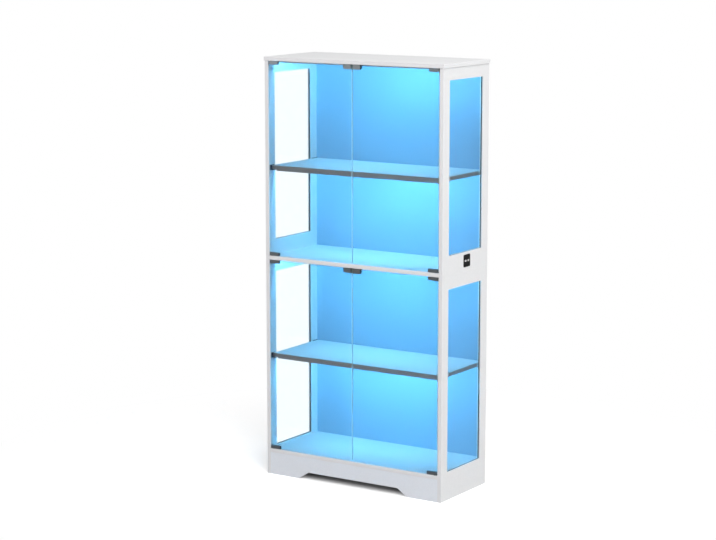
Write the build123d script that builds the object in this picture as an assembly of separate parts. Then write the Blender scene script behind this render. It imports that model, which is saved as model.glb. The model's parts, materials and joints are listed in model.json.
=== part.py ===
from build123d import *
import os

# Two-module glass display cabinet with pivoting glass doors, glazed sides, lit tiers and a charging outlet.
# Sizes are millimetres. X runs to the viewer's right, Y to the back and Z up.
# The origin is on the floor, under the middle of the cabinet.

# Carcass
BODY_WIDTH = 776.0
BODY_DEPTH = 328.0
SIDE_BOARD = 15.0
FLAT_BOARD = 15.0
TOP_SIDE_OVERHANG = 3.0
TOP_DEPTH_OVERHANG = 2.0
BACK_BOARD = 4.0
BACK_LAP = 8.0
BACK_PLAY = 0.5
PLINTH_HEIGHT = 85.0
PLINTH_BOARD = 15.0
PLINTH_SETBACK = 1.0
LOWER_OPENING = 735.0
UPPER_OPENING = 735.0
BOARD_EASE = 0.8

# Arch cut in the front plinth
ARCH_FOOT_HALF = 242.0
ARCH_TOP_HALF = 200.0
ARCH_HEIGHT = 28.0
ARCH_ROUND = 16.0

# Shelves
UPPER_SHELF_LIFT = 342.0
LOWER_SHELF_LIFT = 371.0
SHELF_BOARD = 15.0
SHELF_SETBACK = 22.0
SHELF_BACK_GAP = 1.0
NOSING = 1.2
NOSING_ROUND = 0.5

# Shelf brackets
BRACKET_PLATE = 2.0
BRACKET_LIP = 16.0
BRACKET_TONGUE = 14.0
BRACKET_LEDGE = 3.0
BRACKET_REACH = 12.0
BRACKET_PLAY = 0.5

# Windows in the side panels
FRONT_STILE = 45.0
REAR_STILE = 45.0
UPPER_TOP_RAIL = 45.0
UPPER_BOTTOM_RAIL = 73.0
LOWER_TOP_RAIL = 50.0
LOWER_BOTTOM_RAIL = 106.0
PANE = 4.0
REBATE = 8.0
OUTER_LIP = 4.0
GASKET = 7.0
GASKET_FLOOR = 1.5
BEAD_PLAY = 0.2

# Glass doors
DOOR_GLASS = 5.0
DOOR_SETBACK = 2.0
DOOR_SIDE_GAP = 3.5
DOOR_END_GAP = 3.5
MEETING_GAP = 3.0
GLASS_CORNER = 2.0

# Pivot hinge clamps
CLAMP_LENGTH = 41.0
CLAMP_HEIGHT = 12.0
CLAMP_WALL = 2.0
CLAMP_WEB = 2.0
CLAMP_ROUND = 1.0
PIVOT_INSET = 9.0
PIN_RADIUS = 2.5
PIN_REACH = 5.0
PIN_CLEARANCE = 0.05
BUSH_RADIUS = 4.0
BUSH_DEPTH = 6.5
BUSH_FLANGE_RADIUS = 5.5
BUSH_FLANGE = 1.0
GRUB_RADIUS = 2.0
GRUB_LENGTH = 3.0
GRUB_CLEARANCE = 0.05
GRUB_SOCKET = 1.0
GRUB_SPREAD = 20.0

# Magnetic strikes and sprung latches
STRIKE_LENGTH = 33.0
STRIKE_INSET = 2.0
STRIKE_HEIGHT = 17.0
LATCH_HALF = 28.0
LATCH_DROP = 16.0
LATCH_DEPTH = 18.0
LATCH_SETBACK = 13.0
LATCH_ROUND = 2.0
PLUNGER_RADIUS = 4.0
PLUNGER_CLEARANCE = 0.05
PLUNGER_SPREAD = 34.0
PLUNGER_STROKE = 3.0
PLUNGER_SEAT = 12.0
PLUNGER_GAP = 0.3
PLUNGER_ROUND = 0.6

# Light strips
LED_SETBACK = 33.0
LED_WIDTH = 16.0
LED_HEIGHT = 7.0
LED_WALL = 1.0
LED_END_GAP = 3.0
LED_TAPE_WIDTH = 10.0
LED_TAPE = 0.6
LED_LENS = 1.2
LED_LENS_PLAY = 0.1

# Charging outlet in the right side
OUTLET_FACE = 46.0
OUTLET_PLATE = 1.5
OUTLET_CORNER = 5.0
OUTLET_BODY = 37.0
OUTLET_HOLE_PLAY = 0.5
OUTLET_BODY_DEPTH = 25.0
OUTLET_FROM_FRONT = 174.0
PORT_SPREAD = 20.0
PORT_WIDTH = 12.0
PORT_HEIGHT = 7.0
PORT_DEPTH = 12.0
PORT_PROUD = 0.3
PORT_PLAY = 0.1
PLUG_SLOT_WIDTH = 9.0
PLUG_SLOT_HEIGHT = 3.2
PLUG_SLOT_DEPTH = 8.0

# Cable hole in the upper back
CABLE_BORE = 7.0
GROMMET_NECK = 9.5
GROMMET_FLANGE_RADIUS = 12.5
GROMMET_FLANGE = 1.5
CABLE_FROM_SIDE = 33.0
CABLE_LIFT = 20.0

# Cam joints and dowels
CAM_RADIUS = 7.5
CAM_DEPTH = 12.0
CAM_SETBACK = 34.0
CAM_FROM_EDGE = 34.0
CAM_SLOT = 2.0
CAM_PLAY = 0.1
CAP_RADIUS = 9.0
CAP = 1.0
BOLT_RADIUS = 3.0
BOLT_HEAD_RADIUS = 3.6
BOLT_HEAD = 3.0
BOLT_BITE = 10.0
BOLT_PLAY = 0.1
DOWEL_RADIUS = 4.0
DOWEL_LENGTH = 24.0
DOWEL_INSET = 80.0
DOWEL_PLAY = 0.05

# Back panel screws and wall-anchor holes
SCREW_SHANK = 1.5
SCREW_HEAD_RADIUS = 3.5
SCREW_HEAD = 1.5
SCREW_LENGTH = 16.0
SCREW_COUNT = 5
SCREW_EDGE = 50.0
SCREW_PLAY = 0.05
ANCHOR_RADIUS = 1.5
ANCHOR_DEPTH = 20.0
ANCHOR_SPREAD = 500.0

# Places worked out from the sizes above
FRONT = -BODY_DEPTH / 2
REAR = BODY_DEPTH / 2
OUTER = BODY_WIDTH / 2
INNER = OUTER - SIDE_BOARD
BACK_FACE = REAR - BACK_BOARD
LOWER_FLOOR = PLINTH_HEIGHT + FLAT_BOARD
SEAM = LOWER_FLOOR + LOWER_OPENING
UPPER_FLOOR = SEAM + FLAT_BOARD
TOP_UNDERSIDE = UPPER_FLOOR + UPPER_OPENING
UPPER_SHELF_TOP = UPPER_FLOOR + UPPER_SHELF_LIFT
LOWER_SHELF_TOP = LOWER_FLOOR + LOWER_SHELF_LIFT
DOOR_FACE = FRONT + DOOR_SETBACK
DOOR_REAR = DOOR_FACE + DOOR_GLASS
CLAMP_FACE = DOOR_FACE - CLAMP_WALL
CLAMP_REAR = DOOR_REAR + CLAMP_WALL
CLAMP_MIDDLE = (CLAMP_FACE + CLAMP_REAR) / 2
DOOR_EDGE = INNER - DOOR_SIDE_GAP
PIVOT_X = DOOR_EDGE - PIVOT_INSET
SHELF_FRONT = FRONT + SHELF_SETBACK
SHELF_REAR = BACK_FACE - SHELF_BACK_GAP
OUTLET_Y = FRONT + OUTLET_FROM_FRONT
OUTLET_Z = SEAM + (UPPER_BOTTOM_RAIL + FLAT_BOARD - REBATE) / 2
SIDES = {"left": -1, "right": 1}
LEVELS = {"upper": (UPPER_FLOOR, TOP_UNDERSIDE), "lower": (LOWER_FLOOR, SEAM)}


def block(x_ends, y_ends, z_ends):
    """A box between two corners, whichever way round each pair of ends is given."""
    low = Vector(min(x_ends), min(y_ends), min(z_ends))
    high = Vector(max(x_ends), max(y_ends), max(z_ends))
    size = high - low
    return Pos(*((low + high) / 2)) * Box(size.X, size.Y, size.Z)


def rod(axis, radius, start, length):
    """A cylinder that leaves the point start along an axis direction, for a positive length."""
    place = Plane(origin=start, z_dir=axis)
    return place * Cylinder(radius, length, align=(Align.CENTER, Align.CENTER, Align.MIN))


def joined(shapes):
    """One node made of several separate solids."""
    return Compound(children=list(shapes))


def eased(board, *axes):
    """A board whose edges along the given axes have a small round, as edge banding leaves them."""
    edges = [edge for axis in axes for edge in board.edges().filter_by(axis)]
    return fillet(edges, min(BOARD_EASE, SIDE_BOARD / 4, FLAT_BOARD / 4))


# Joinery shared by several boards

def cam_depths():
    """The depths at which a cam joint stands, one near each long edge of a board."""
    return (FRONT + CAM_SETBACK, BACK_FACE - CAM_SETBACK)


def flat_cam_bore(x_side, depth, underside):
    """Pocket for a cam in the underside of a flat board, with the bolt's way in from its end."""
    centre = x_side * (INNER - CAM_FROM_EDGE)
    pocket = rod((0, 0, 1), CAM_RADIUS + CAM_PLAY, (centre, depth, underside), CAM_DEPTH)
    middle = underside + FLAT_BOARD / 2
    way = rod((-x_side, 0, 0), BOLT_HEAD_RADIUS + BOLT_PLAY, (x_side * INNER, depth, middle), CAM_FROM_EDGE)
    return pocket + way


def bolt(start, direction):
    """Cam bolt from the head inside its cam to the thread's end in the side board."""
    reach = CAM_FROM_EDGE + BOLT_BITE
    stem = rod(direction, BOLT_RADIUS, start, reach)
    return stem + rod(direction, BOLT_HEAD_RADIUS, start, BOLT_HEAD)


def cam(face_point, inward, bolt_way):
    """Cam disc with a cross slot in its face and a channel that swallows the bolt's head."""
    face = Plane(origin=face_point, x_dir=bolt_way, z_dir=inward)
    disc = Cylinder(CAM_RADIUS, CAM_DEPTH, align=(Align.CENTER, Align.CENTER, Align.MIN))
    slot = CAM_RADIUS * 1.2
    disc -= Box(slot, CAM_SLOT, CAM_SLOT)
    disc -= Box(CAM_SLOT, slot, CAM_SLOT)
    head = 2 * (BOLT_HEAD_RADIUS + BOLT_PLAY)
    channel = Box(CAM_RADIUS + 1, head, head, align=(Align.MIN, Align.CENTER, Align.CENTER))
    return face * (disc - Pos(-BOLT_PLAY, 0, SIDE_BOARD / 2) * channel)


def flat_joints():
    """(side, depth, underside) of each cam joint between a flat board and a side panel."""
    places = [(s, y) for s in SIDES.values() for y in cam_depths()]
    return [(*place, z) for place in places for z in (PLINTH_HEIGHT, SEAM)]


def top_joints():
    """(side, depth) of each cam joint between the top and an upper side panel."""
    return [(s, y) for s in SIDES.values() for y in cam_depths()]


def top_cam_level():
    """Height of the cams that hold the top, near the upper edge of the side panels."""
    return TOP_UNDERSIDE - UPPER_TOP_RAIL / 2 + REBATE / 2


def top_bolt(x_side, depth):
    """Bolt that hangs from the top board into a cam in the side panel."""
    start = (x_side * (INNER + SIDE_BOARD / 2), depth, top_cam_level())
    reach = TOP_UNDERSIDE - top_cam_level() + BOLT_BITE
    return rod((0, 0, 1), BOLT_RADIUS, start, reach) + rod((0, 0, 1), BOLT_HEAD_RADIUS, start, BOLT_HEAD)


def dowel_places(level):
    """Centres of the dowels that locate one side board on the next at a height."""
    across = OUTER - SIDE_BOARD / 2
    depths = (FRONT + DOWEL_INSET, REAR - DOWEL_INSET)
    return [(side * across, depth, level) for side in SIDES.values() for depth in depths]


def upright(radius, centre, length):
    """A vertical cylinder centred on a point."""
    x, y, z = centre
    return rod((0, 0, 1), radius, (x, y, z - length / 2), length)


# Boards

def pivot_places(level):
    """Each door pivot of one module: (side, board surface height, direction into the board)."""
    low, high = LEVELS[level]
    return [(s, z, into) for s in SIDES.values() for z, into in ((low, -1), (high, 1))]


def bush_bore(x_side, surface, into):
    """Blind hole that takes a pivot bush."""
    start = (x_side * PIVOT_X, CLAMP_MIDDLE, surface)
    return rod((0, 0, into), BUSH_RADIUS, start, BUSH_DEPTH)


def screw_columns():
    """X places of the back panel screws."""
    span = 2 * (INNER - SCREW_EDGE)
    return [-span / 2 + span * i / (SCREW_COUNT - 1) for i in range(SCREW_COUNT)]


def screw_bore(x, z):
    """Pilot hole of one back panel screw, from behind."""
    return rod((0, -1, 0), SCREW_SHANK + SCREW_PLAY, (x, REAR, z), SCREW_LENGTH + SCREW_PLAY)


def top_panel():
    """Top board, which laps over the side panels, with pivot holes, bolt holes and wall-anchor holes."""
    reach = OUTER + TOP_SIDE_OVERHANG
    ends = (FRONT - TOP_DEPTH_OVERHANG, REAR + TOP_DEPTH_OVERHANG)
    board = block((-reach, reach), ends, (TOP_UNDERSIDE, TOP_UNDERSIDE + FLAT_BOARD))
    board = eased(board, Axis.X, Axis.Y, Axis.Z)
    for side, surface, into in pivot_places("upper"):
        if into > 0:
            board -= bush_bore(side, surface, into)
    for side, depth in top_joints():
        board -= upright(BOLT_RADIUS, (side * (INNER + SIDE_BOARD / 2), depth, TOP_UNDERSIDE), 2 * BOLT_BITE)
    for place in dowel_places(TOP_UNDERSIDE):
        board -= upright(DOWEL_RADIUS + DOWEL_PLAY, place, DOWEL_LENGTH * 0.8)
    middle = TOP_UNDERSIDE + FLAT_BOARD / 2
    for half in (-1, 1):
        start = (half * ANCHOR_SPREAD / 2, ends[1], middle)
        board -= rod((0, -1, 0), ANCHOR_RADIUS, start, ANCHOR_DEPTH)
    return board


def flat_panel(underside, pivots):
    """Floor board of a module, between the side panels, with cam pockets, pivot holes and screw holes."""
    board = block((-INNER, INNER), (FRONT, BACK_FACE), (underside, underside + FLAT_BOARD))
    board = eased(board, Axis.X)
    for side in SIDES.values():
        for depth in cam_depths():
            board -= flat_cam_bore(side, depth, underside)
    for side, surface, into in pivots:
        board -= bush_bore(side, surface, into)
    for x in screw_columns():
        board -= screw_bore(x, underside + FLAT_BOARD / 2)
    return board


def shelf(top):
    """Shelf board, resting on its four brackets."""
    reach = INNER - BRACKET_PLATE - BRACKET_PLAY
    return eased(block((-reach, reach), (SHELF_FRONT, SHELF_REAR), (top - SHELF_BOARD, top)), Axis.X)


def shelf_nosing(top):
    """Aluminium strip along the front edge of a shelf, with its two front corners rounded."""
    reach = INNER - BRACKET_PLATE - BRACKET_PLAY
    strip = block((-reach, reach), (SHELF_FRONT - NOSING, SHELF_FRONT), (top - SHELF_BOARD, top))
    corners = strip.edges().filter_by(Axis.X).sort_by(Axis.Y)[:2]
    return fillet(corners, NOSING_ROUND)


def window_ends(level):
    """(lowest, highest) height of a side window."""
    if level == "upper":
        return SEAM + UPPER_BOTTOM_RAIL, TOP_UNDERSIDE - UPPER_TOP_RAIL
    return LOWER_BOTTOM_RAIL, SEAM - LOWER_TOP_RAIL


def window_block(side, level, x_ends, margin):
    """A block over a side window, larger than it by a margin, between two depths of the board."""
    low, high = window_ends(level)
    xs = [side * x for x in x_ends]
    return block(xs, (FRONT + FRONT_STILE - margin, REAR - REAR_STILE + margin), (low - margin, high + margin))


def side_panel(side, level):
    """One-piece side board with a window, a rebate for its pane, and the holes that join it."""
    low, high = (SEAM, TOP_UNDERSIDE) if level == "upper" else (0.0, SEAM)
    board = eased(block((side * INNER, side * OUTER), (FRONT, REAR), (low, high)), Axis.Y, Axis.Z)
    board -= window_block(side, level, (INNER - 1, OUTER + 1), 0.0)
    board -= window_block(side, level, (INNER - 1, OUTER - OUTER_LIP), REBATE)
    lap = (side * (INNER - 1), side * (INNER + BACK_LAP))
    back_low = low if level == "upper" else PLINTH_HEIGHT
    board -= block(lap, (BACK_FACE, REAR + 1), (back_low - BACK_PLAY, high + 1))
    underside = SEAM if level == "upper" else PLINTH_HEIGHT
    for depth in cam_depths():
        start = (side * INNER, depth, underside + FLAT_BOARD / 2)
        board -= rod((side, 0, 0), BOLT_RADIUS, start, BOLT_BITE)
    for x, y, z in dowel_places(SEAM) + dowel_places(TOP_UNDERSIDE):
        if x * side > 0 and low <= z <= high:
            board -= upright(DOWEL_RADIUS + DOWEL_PLAY, (x, y, z), DOWEL_LENGTH + 2 * DOWEL_PLAY)
    if level == "upper":
        board -= top_cam_bores(side)
    if level == "upper" and side > 0:
        hole = OUTLET_BODY / 2 + OUTLET_HOLE_PLAY
        ends = ((OUTLET_Y - hole, OUTLET_Y + hole), (OUTLET_Z - hole, OUTLET_Z + hole))
        board -= block((INNER - 1, OUTER + 1), *ends)
    return board


def top_cam_bores(side):
    """Pockets for the cams and bolts that hold the top on an upper side panel."""
    bores = []
    for depth in cam_depths():
        level = top_cam_level()
        bores.append(rod((side, 0, 0), CAM_RADIUS + CAM_PLAY, (side * INNER, depth, level), CAM_DEPTH))
        way = (side * (INNER + SIDE_BOARD / 2), depth, level)
        bores.append(rod((0, 0, 1), BOLT_HEAD_RADIUS + BOLT_PLAY, way, TOP_UNDERSIDE - level))
    return bores[0] + bores[1:]


def back_panel(level):
    """Thin back board, seated in the rear rebates of the side panels."""
    low, high = (SEAM, TOP_UNDERSIDE) if level == "upper" else (PLINTH_HEIGHT, SEAM)
    reach = INNER + BACK_LAP - BACK_PLAY
    panel = block((-reach, reach), (BACK_FACE, REAR), (low, high - BACK_PLAY))
    for x in screw_columns():
        panel -= screw_bore(x, low + FLAT_BOARD / 2)
    if level == "upper":
        x, z = cable_place()
        panel -= rod((0, -1, 0), GROMMET_NECK, (x, REAR, z), BACK_BOARD)
    return panel


def cable_place():
    """(x, z) of the cable hole in the upper back."""
    return INNER - CABLE_FROM_SIDE, UPPER_FLOOR + CABLE_LIFT


def plinth_front():
    """Front plinth board with its shallow arch, whose slopes run into the edges in soft curves."""
    face = FRONT + PLINTH_SETBACK
    board = block((-INNER, INNER), (face, face + PLINTH_BOARD), (0, PLINTH_HEIGHT))
    corners = [
        (-ARCH_FOOT_HALF, 0),
        (-ARCH_TOP_HALF, ARCH_HEIGHT),
        (ARCH_TOP_HALF, ARCH_HEIGHT),
        (ARCH_FOOT_HALF, 0),
    ]
    outline = [(-INNER, 0), *corners, (INNER, 0), (INNER, -ARCH_HEIGHT), (-INNER, -ARCH_HEIGHT)]
    void = Plane.XZ.offset(-FRONT + 1) * make_face(Polyline(*outline, close=True))
    cutter = extrude(void, amount=-(PLINTH_SETBACK + PLINTH_BOARD + 2))
    bends = [
        edge
        for edge in cutter.edges().filter_by(Axis.Y)
        if 0 <= edge.center().Z <= ARCH_HEIGHT and abs(edge.center().X) < INNER - 1
    ]
    return board - fillet(bends, ARCH_ROUND)


def plinth_rear():
    """Rear plinth board, under the back edge of the lower floor."""
    return block((-INNER, INNER), (BACK_FACE - PLINTH_BOARD, BACK_FACE), (0, PLINTH_HEIGHT))


# Side glazing

def pane_plane(side):
    """(inner, outer) X of a side pane, in the middle of its gasket."""
    outer = OUTER - OUTER_LIP - (GASKET - PANE) / 2
    return side * (outer - PANE), side * outer


def side_glass(side, level):
    """Side pane, held all round in its gasket."""
    inner, outer = pane_plane(side)
    return window_block(side, level, (side * inner, side * outer), REBATE - GASKET_FLOOR)


def gasket(side, level):
    """Dark channel gasket round a side pane, seated in the rebate."""
    outer = OUTER - OUTER_LIP
    ends = (outer - GASKET, outer)
    ring = window_block(side, level, ends, REBATE)
    ring -= window_block(side, level, (ends[0] - 1, ends[1] + 1), 0.0)
    return ring - side_glass(side, level)


def glazing_beads(side, level):
    """Four strips that close the rebate on the inside, flush with the board."""
    low, high = window_ends(level)
    xs = (side * INNER, side * (OUTER - OUTER_LIP - GASKET))
    near, far = FRONT + FRONT_STILE, REAR - REAR_STILE
    reach = REBATE - BEAD_PLAY
    uprights = [(near - reach, near), (far, far + reach)]
    strips = [block(xs, ys, (low - reach, high + reach)) for ys in uprights]
    flats = [(low - reach, low), (high, high + reach)]
    return strips + [block(xs, (near, far), zs) for zs in flats]


# Shelf brackets

def shelf_bracket(side, top, front):
    """Wall plate with a stop beside the shelf and a ledge under it; front says which end it holds."""
    way = 1 if front else -1
    edge = SHELF_FRONT if front else SHELF_REAR - BRACKET_LIP
    start = edge - BRACKET_LIP if front else BACK_FACE - BRACKET_PLAY
    end = edge + way * BRACKET_TONGUE if front else edge - BRACKET_TONGUE
    under = top - SHELF_BOARD - BRACKET_LEDGE
    wall = (side * INNER, side * (INNER - BRACKET_PLATE))
    plate = block(wall, (start, end), (under, top + BRACKET_LEDGE / 2))
    across = (side * INNER, side * (INNER - BRACKET_REACH))
    ledge = block(across, (edge, end), (under, under + BRACKET_LEDGE))
    return plate + ledge


def shelf_brackets():
    """The eight brackets of the two shelves."""
    places = [(s, top) for s in SIDES.values() for top in (UPPER_SHELF_TOP, LOWER_SHELF_TOP)]
    return [shelf_bracket(*place, front) for place in places for front in (True, False)]


# Doors

def door_heights(level):
    """(lowest, highest) height of a door's glass."""
    low, high = LEVELS[level]
    return low + DOOR_END_GAP, high - DOOR_END_GAP


def door_glass(side, level):
    """Tempered pane of one door, with its corners eased."""
    pane = block((side * MEETING_GAP / 2, side * DOOR_EDGE), (DOOR_FACE, DOOR_REAR), door_heights(level))
    return fillet(pane.edges().filter_by(Axis.Y), GLASS_CORNER)


def grub_places(side, clamp_end):
    """X places of the two grub screws of a hinge clamp."""
    middle = clamp_end - CLAMP_LENGTH / 2
    return [side * (middle + half * GRUB_SPREAD / 2) for half in (-1, 1)]


def hinge(side, level, top):
    """Pivot hinge: a clamp over the glass edge, with the pin that turns in the board's bush."""
    low, high = door_heights(level)
    edge, way = (high, 1) if top else (low, -1)
    rim = edge + way * CLAMP_WEB
    xs = (side * DOOR_EDGE, side * (DOOR_EDGE - CLAMP_LENGTH))
    clamp = block(xs, (CLAMP_FACE, CLAMP_REAR), (rim, rim - way * CLAMP_HEIGHT))
    clamp = fillet(clamp.edges().filter_by(Axis.Z), CLAMP_ROUND)
    slot = (edge, rim - way * (CLAMP_HEIGHT + 1))
    clamp -= block((xs[0] + side, xs[1] - side), (DOOR_FACE, DOOR_REAR), slot)
    middle = rim - way * (CLAMP_HEIGHT + CLAMP_WEB) / 2
    for x in grub_places(side, DOOR_EDGE):
        clamp -= rod((0, 1, 0), GRUB_RADIUS + GRUB_CLEARANCE, (x, DOOR_REAR, middle), CLAMP_WALL + 1)
    pin = DOOR_END_GAP - CLAMP_WEB + PIN_REACH
    return clamp + rod((0, 0, way), PIN_RADIUS, (side * PIVOT_X, CLAMP_MIDDLE, rim), pin)


def strike(side, level):
    """Steel clip over the top edge of a door beside the meeting gap, which the latch magnet holds."""
    high = door_heights(level)[1]
    rim = high + CLAMP_WEB
    start = MEETING_GAP / 2 + STRIKE_INSET
    xs = (side * start, side * (start + STRIKE_LENGTH))
    clip = block(xs, (CLAMP_FACE, CLAMP_REAR), (rim, rim - STRIKE_HEIGHT))
    clip = fillet(clip.edges().filter_by(Axis.Z), CLAMP_ROUND)
    slot = (high, rim - STRIKE_HEIGHT - 1)
    clip -= block((xs[0] - side, xs[1] + side), (DOOR_FACE, DOOR_REAR), slot)
    return clip - strike_grub_bore(side, high)


def strike_grub_place(side, high):
    """Where the strike's grub screw meets the glass, clear of the plunger."""
    end = MEETING_GAP / 2 + STRIKE_INSET + STRIKE_LENGTH
    return side * (end - 2 * GRUB_RADIUS - 1), DOOR_REAR, high - STRIKE_HEIGHT / 2


def strike_grub_bore(side, high):
    """Hole for the strike's grub screw."""
    return rod((0, 1, 0), GRUB_RADIUS + GRUB_CLEARANCE, strike_grub_place(side, high), CLAMP_WALL + 1)


def grub(place):
    """Grub screw pressed on the glass, with a socket in its outer end."""
    x, y, z = place
    screw = rod((0, 1, 0), GRUB_RADIUS, place, GRUB_LENGTH)
    socket = Plane(origin=(x, y + GRUB_LENGTH, z), z_dir=(0, -1, 0)) * RegularPolygon(GRUB_RADIUS / 2, 6)
    return screw - extrude(socket, amount=GRUB_SOCKET)


def door_grubs(side, level):
    """All grub screws of one door."""
    low, high = door_heights(level)
    half = (CLAMP_HEIGHT - CLAMP_WEB) / 2
    places = [(x, DOOR_REAR, z) for x in grub_places(side, DOOR_EDGE) for z in (low + half, high - half)]
    return [grub(place) for place in places + [strike_grub_place(side, high)]]


def bush(side, surface, into):
    """Flanged plastic bush that a door pin turns in."""
    start = (side * PIVOT_X, CLAMP_MIDDLE, surface)
    body = rod((0, 0, into), BUSH_RADIUS, start, BUSH_DEPTH)
    body += rod((0, 0, -into), BUSH_FLANGE_RADIUS, start, BUSH_FLANGE)
    mouth = (side * PIVOT_X, CLAMP_MIDDLE, surface - into * BUSH_FLANGE)
    depth = PIN_REACH + 1.5 * BUSH_FLANGE
    return body - rod((0, 0, into), PIN_RADIUS + PIN_CLEARANCE, mouth, depth)


# Latches

def plunger_start():
    """Y of a plunger's magnet face, just behind the strikes."""
    return CLAMP_REAR + PLUNGER_GAP


def plunger_level(level):
    """Height of the plungers of one module."""
    return LEVELS[level][1] - LATCH_DROP / 2


def plunger(side, level):
    """Sprung plunger with its round magnet face."""
    front = plunger_start()
    end = FRONT + LATCH_SETBACK + PLUNGER_SEAT
    start = (side * PLUNGER_SPREAD / 2, front, plunger_level(level))
    body = rod((0, 1, 0), PLUNGER_RADIUS, start, end - front)
    return fillet(body.edges().sort_by(Axis.Y)[0], PLUNGER_ROUND)


def latch_housing(level):
    """Twin latch body under the board, with a bore for each plunger and its stroke."""
    high = LEVELS[level][1]
    front = FRONT + LATCH_SETBACK
    body = block((-LATCH_HALF, LATCH_HALF), (front, front + LATCH_DEPTH), (high - LATCH_DROP, high))
    lower_edges = body.edges().filter_by(Axis.Y).sort_by(Axis.Z)[:2]
    body = fillet(lower_edges, LATCH_ROUND)
    for side in SIDES.values():
        start = (side * PLUNGER_SPREAD / 2, front, plunger_level(level))
        depth = PLUNGER_SEAT + PLUNGER_STROKE + PLUNGER_GAP
        body -= rod((0, 1, 0), PLUNGER_RADIUS + PLUNGER_CLEARANCE, start, depth)
    return body


# Light strips

def light_levels():
    """Undersides that carry a light strip, one for each tier."""
    shelves = (UPPER_SHELF_TOP - SHELF_BOARD, LOWER_SHELF_TOP - SHELF_BOARD)
    return (TOP_UNDERSIDE, shelves[0], SEAM, shelves[1])


def light_bar(level, width, z_ends, end_gap):
    """A full-width bar on the centre line of a light strip."""
    centre = FRONT + LED_SETBACK + LED_WIDTH / 2
    reach = INNER - BRACKET_REACH - end_gap
    return block((-reach, reach), (centre - width / 2, centre + width / 2), [level - z for z in z_ends])


def light_channel(level):
    """Aluminium channel, open below."""
    cavity = light_bar(level, LED_WIDTH - 2 * LED_WALL, (LED_WALL, LED_HEIGHT + 1), 0.0)
    return light_bar(level, LED_WIDTH, (0, LED_HEIGHT), LED_END_GAP) - cavity


def light_tape(level):
    """Tape of light emitters on the roof of the channel."""
    return light_bar(level, LED_TAPE_WIDTH, (LED_WALL, LED_WALL + LED_TAPE), LED_END_GAP)


def light_lens(level):
    """Milky cover that closes the channel."""
    width = LED_WIDTH - 2 * LED_WALL - 2 * LED_LENS_PLAY
    return light_bar(level, width, (LED_HEIGHT - LED_LENS, LED_HEIGHT), LED_END_GAP)


# Charging outlet and cable exit

def outlet_plane():
    """Sketch plane on the outside of the right panel, with its normal outwards."""
    return Plane(origin=(OUTER, OUTLET_Y, OUTLET_Z), x_dir=(0, 1, 0), z_dir=(1, 0, 0))


def port_openings(width, height):
    """The two port outlines, side by side."""
    slots = [Pos(half * PORT_SPREAD / 2, 0) * SlotOverall(width, height) for half in (-1, 1)]
    return slots[0] + slots[1]


def outlet_bezel():
    """Black face plate with rounded corners and two port holes."""
    face = RectangleRounded(OUTLET_FACE, OUTLET_FACE, OUTLET_CORNER) - port_openings(PORT_WIDTH, PORT_HEIGHT)
    return extrude(outlet_plane() * face, amount=OUTLET_PLATE)


def outlet_body():
    """Body behind the face plate, in the panel's square hole, with a well for each port."""
    body = extrude(outlet_plane() * Rectangle(OUTLET_BODY, OUTLET_BODY), amount=-OUTLET_BODY_DEPTH)
    return body - extrude(outlet_plane() * port_openings(PORT_WIDTH, PORT_HEIGHT), amount=-PORT_DEPTH)


def outlet_ports():
    """White port inserts, each with a slot for a plug."""
    size = (PORT_WIDTH - 2 * PORT_PLAY, PORT_HEIGHT - 2 * PORT_PLAY)
    outer = outlet_plane().offset(OUTLET_PLATE + PORT_PROUD)
    inserts = extrude(outer * port_openings(*size), amount=-(OUTLET_PLATE + PORT_PROUD + PORT_DEPTH))
    plug = port_openings(PLUG_SLOT_WIDTH, PLUG_SLOT_HEIGHT)
    return inserts - extrude(outer * plug, amount=-PLUG_SLOT_DEPTH)


def cable_grommet():
    """Rubber grommet in the cable hole, with a flange on each face of the back board."""
    x, z = cable_place()
    profile = [
        (CABLE_BORE, -GROMMET_FLANGE),
        (GROMMET_FLANGE_RADIUS, -GROMMET_FLANGE),
        (GROMMET_FLANGE_RADIUS, 0),
        (GROMMET_NECK, 0),
        (GROMMET_NECK, BACK_BOARD),
        (GROMMET_FLANGE_RADIUS, BACK_BOARD),
        (GROMMET_FLANGE_RADIUS, BACK_BOARD + GROMMET_FLANGE),
        (CABLE_BORE, BACK_BOARD + GROMMET_FLANGE),
    ]
    section = Plane.XZ * make_face(Polyline(*profile, close=True))
    turned = revolve(section, Axis.Z)
    return Plane(origin=(x, BACK_FACE, z), z_dir=(0, 1, 0)) * turned


def back_screw(x, z):
    """Pan-head screw through the back board."""
    shank = rod((0, -1, 0), SCREW_SHANK, (x, REAR, z), SCREW_LENGTH)
    head = rod((0, 1, 0), SCREW_HEAD_RADIUS, (x, REAR, z), SCREW_HEAD)
    return shank + head


def cam_locks():
    """All cam discs."""
    discs = []
    for side, depth, underside in flat_joints():
        face = (side * (INNER - CAM_FROM_EDGE), depth, underside)
        discs.append(cam(face, (0, 0, 1), (side, 0, 0)))
    for side, depth in top_joints():
        face = (side * INNER, depth, top_cam_level())
        discs.append(cam(face, (side, 0, 0), (0, 0, 1)))
    return discs


def cam_caps():
    """White caps over the cams that would show on the inside of the side panels."""
    return [
        rod((-side, 0, 0), CAP_RADIUS, (side * INNER, depth, top_cam_level()), CAP)
        for side, depth in top_joints()
    ]


def cam_bolts():
    """All cam bolts."""
    rods = []
    for side, depth, underside in flat_joints():
        start = (side * (INNER - CAM_FROM_EDGE), depth, underside + FLAT_BOARD / 2)
        rods.append(bolt(start, (side, 0, 0)))
    return rods + [top_bolt(side, depth) for side, depth in top_joints()]


def dowels():
    """Beech dowels at the seam between the modules and under the top."""
    seam = [upright(DOWEL_RADIUS, place, DOWEL_LENGTH) for place in dowel_places(SEAM)]
    drop = DOWEL_LENGTH * 0.1
    length = DOWEL_LENGTH - 2 * drop
    return seam + [upright(DOWEL_RADIUS, (x, y, z - drop), length) for x, y, z in dowel_places(TOP_UNDERSIDE)]


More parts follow.
